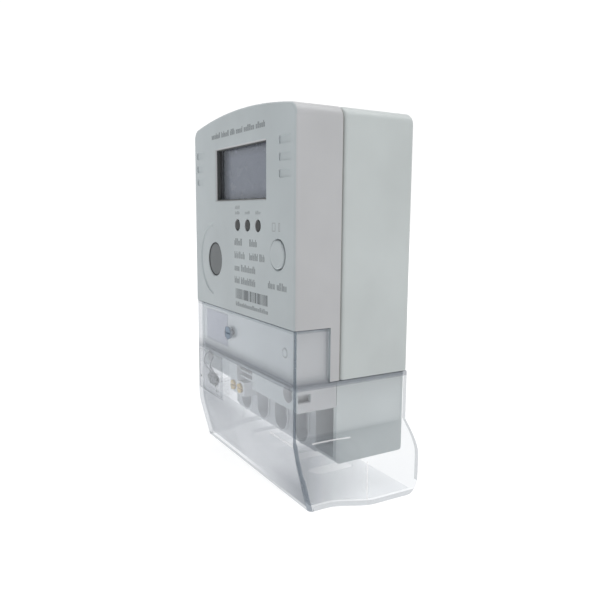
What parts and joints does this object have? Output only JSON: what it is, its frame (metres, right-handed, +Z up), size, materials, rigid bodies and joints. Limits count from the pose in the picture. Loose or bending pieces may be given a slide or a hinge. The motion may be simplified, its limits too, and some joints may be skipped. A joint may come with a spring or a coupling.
{
  "type": "prepaid electricity meter",
  "caption": "Wall-mounted single-phase prepaid electricity meter with a display, optical port and button above a clear, sealed terminal cover.",
  "frame": {"origin": "centre of the housing's width and height, on the flat back face that lies against the wall", "axes": "+Z up, the front faces -Y, +X to the right seen from the front"},
  "size_m": [0.132, 0.0627, 0.1804],
  "materials": {
    "housing_white": "fine satin, light grey-white moulded ABS",
    "clear_cover": "clear polycarbonate, polished",
    "window_clear": "lightly smoked clear window",
    "lcd_grey": "blank grey display glass",
    "lens_grey": "dark smoked light guide",
    "port_grey": "dark infrared-clear disc",
    "terminal_grey": "grey glass-filled moulding",
    "seal_rubber": "black rubber",
    "board_green": "green solder mask on glass-fibre board",
    "component_black": "black moulded electronic part",
    "component_yellow": "yellow film capacitor case",
    "component_blue": "blue epoxy dip",
    "battery_sleeve": "shrink sleeve",
    "brass": "machined brass",
    "copper": "bare copper",
    "zinc_steel": "zinc-plated steel",
    "lead": "dull crimped lead",
    "white_plastic": "white moulded plastic",
    "label_lilac": "blank lilac sticker",
    "label_film": "clear printed film"
  },
  "bodies": {
    "meter": {"aux_terminal_block": "terminal_grey", "backup_battery": "battery_sleeve", "blank_label": "label_lilac", "busbar_line_in": "copper", "busbar_line_out": "copper", "cover_switch_body": "component_black", "filter_capacitor": "component_black", "front_housing": "housing_white", "housing_gasket": "seal_rubber", "housing_screw_left": "zinc_steel", "housing_screw_right": "zinc_steel", "lcd_glass": "lcd_grey", "lcd_holder": "white_plastic", "lcd_window": "window_clear", "lead_seal": "lead", "led_lens_1": "lens_grey", "led_lens_2": "lens_grey", "led_lens_3": "lens_grey", "main_board": "board_green", "neutral_link": "copper", "optical_emitter": "component_black", "optical_receiver": "component_black", "optical_window": "port_grey", "port_magnet_ring": "zinc_steel", "power_capacitor": "component_yellow", "rear_base": "housing_white", "relay_base": "component_black", "relay_case": "component_black", "relay_coil": "copper", "relay_stud_in": "brass", "relay_stud_out": "brass", "seal_wire": "zinc_steel", "shunt": "brass", "sounder": "component_black", "surge_varistor": "component_blue", "tact_switch": "zinc_steel", "terminal_block": "terminal_grey", "terminal_cage_1": "brass", "terminal_cage_2": "brass", "terminal_cage_3": "brass", "terminal_cage_4": "brass", "transformer_core": "zinc_steel"},
    "cover": {"terminal_cover": "clear_cover", "wiring_label": "label_film"},
    "cover_screw": {"cover_screw": "zinc_steel"},
    "button": {"push_button": "housing_white", "tact_plunger": "component_black"},
    "cover_switch": {"cover_switch_plunger": "white_plastic"},
    "terminal_screw_1_a": {"terminal_screw_1_a": "zinc_steel"},
    "terminal_screw_1_b": {"terminal_screw_1_b": "zinc_steel"},
    "terminal_screw_2_a": {"terminal_screw_2_a": "zinc_steel"},
    "terminal_screw_2_b": {"terminal_screw_2_b": "zinc_steel"},
    "terminal_screw_3_a": {"terminal_screw_3_a": "zinc_steel"},
    "terminal_screw_3_b": {"terminal_screw_3_b": "zinc_steel"},
    "terminal_screw_4_a": {"terminal_screw_4_a": "zinc_steel"},
    "terminal_screw_4_b": {"terminal_screw_4_b": "zinc_steel"},
    "aux_screw_1": {"aux_screw_1": "brass"},
    "aux_screw_2": {"aux_screw_2": "brass"},
    "hanger": {"hanger": "zinc_steel"},
    "armature": {"relay_armature": "zinc_steel"}
  },
  "joints": [
    {"name": "cover_lift_off", "type": "slide", "parent": "meter", "child": "cover", "axis": [0, -1, 0], "range_m": [0, 0.08]},
    {"name": "cover_screw_turn", "type": "hinge", "parent": "cover", "child": "cover_screw", "pos_m": [-0.0133, -0.0615, -0.0286], "axis": [0, 1, 0], "continuous": true},
    {"name": "button_press", "type": "slide", "parent": "meter", "child": "button", "axis": [0, 1, 0], "range_m": [0, 0.0008], "stiffness_N_per_m": 600, "springref_m": -0.0005},
    {"name": "cover_switch_press", "type": "slide", "parent": "meter", "child": "cover_switch", "axis": [0, 1, 0], "range_m": [0, 0.0015], "stiffness_N_per_m": 300, "springref_m": -0.001},
    {"name": "terminal_screw_1_a_turn", "type": "hinge", "parent": "meter", "child": "terminal_screw_1_a", "pos_m": [-0.0396, -0.029, -0.0616], "axis": [0, 1, 0], "continuous": true},
    {"name": "terminal_screw_1_b_turn", "type": "hinge", "parent": "meter", "child": "terminal_screw_1_b", "pos_m": [-0.0396, -0.029, -0.0714], "axis": [0, 1, 0], "continuous": true},
    {"name": "terminal_screw_2_a_turn", "type": "hinge", "parent": "meter", "child": "terminal_screw_2_a", "pos_m": [-0.0188, -0.029, -0.0616], "axis": [0, 1, 0], "continuous": true},
    {"name": "terminal_screw_2_b_turn", "type": "hinge", "parent": "meter", "child": "terminal_screw_2_b", "pos_m": [-0.0188, -0.029, -0.0714], "axis": [0, 1, 0], "continuous": true},
    {"name": "terminal_screw_3_a_turn", "type": "hinge", "parent": "meter", "child": "terminal_screw_3_a", "pos_m": [0.002, -0.029, -0.0616], "axis": [0, 1, 0], "continuous": true},
    {"name": "terminal_screw_3_b_turn", "type": "hinge", "parent": "meter", "child": "terminal_screw_3_b", "pos_m": [0.002, -0.029, -0.0714], "axis": [0, 1, 0], "continuous": true},
    {"name": "terminal_screw_4_a_turn", "type": "hinge", "parent": "meter", "child": "terminal_screw_4_a", "pos_m": [0.0228, -0.029, -0.0616], "axis": [0, 1, 0], "continuous": true},
    {"name": "terminal_screw_4_b_turn", "type": "hinge", "parent": "meter", "child": "terminal_screw_4_b", "pos_m": [0.0228, -0.029, -0.0714], "axis": [0, 1, 0], "continuous": true},
    {"name": "aux_screw_1_turn", "type": "hinge", "parent": "meter", "child": "aux_screw_1", "pos_m": [-0.0166, -0.0554, -0.0575], "axis": [0, 1, 0], "continuous": true},
    {"name": "aux_screw_2_turn", "type": "hinge", "parent": "meter", "child": "aux_screw_2", "pos_m": [-0.0084, -0.0554, -0.0575], "axis": [0, 1, 0], "continuous": true},
    {"name": "hanger_slide", "type": "slide", "parent": "meter", "child": "hanger", "axis": [0, 0, 1], "range_m": [0, 0.02]},
    {"name": "armature_rock", "type": "hinge", "parent": "meter", "child": "armature", "pos_m": [-0.028, -0.0356, 0.0115], "axis": [0, 1, 0], "range_deg": [-4, 4]}
  ]
}
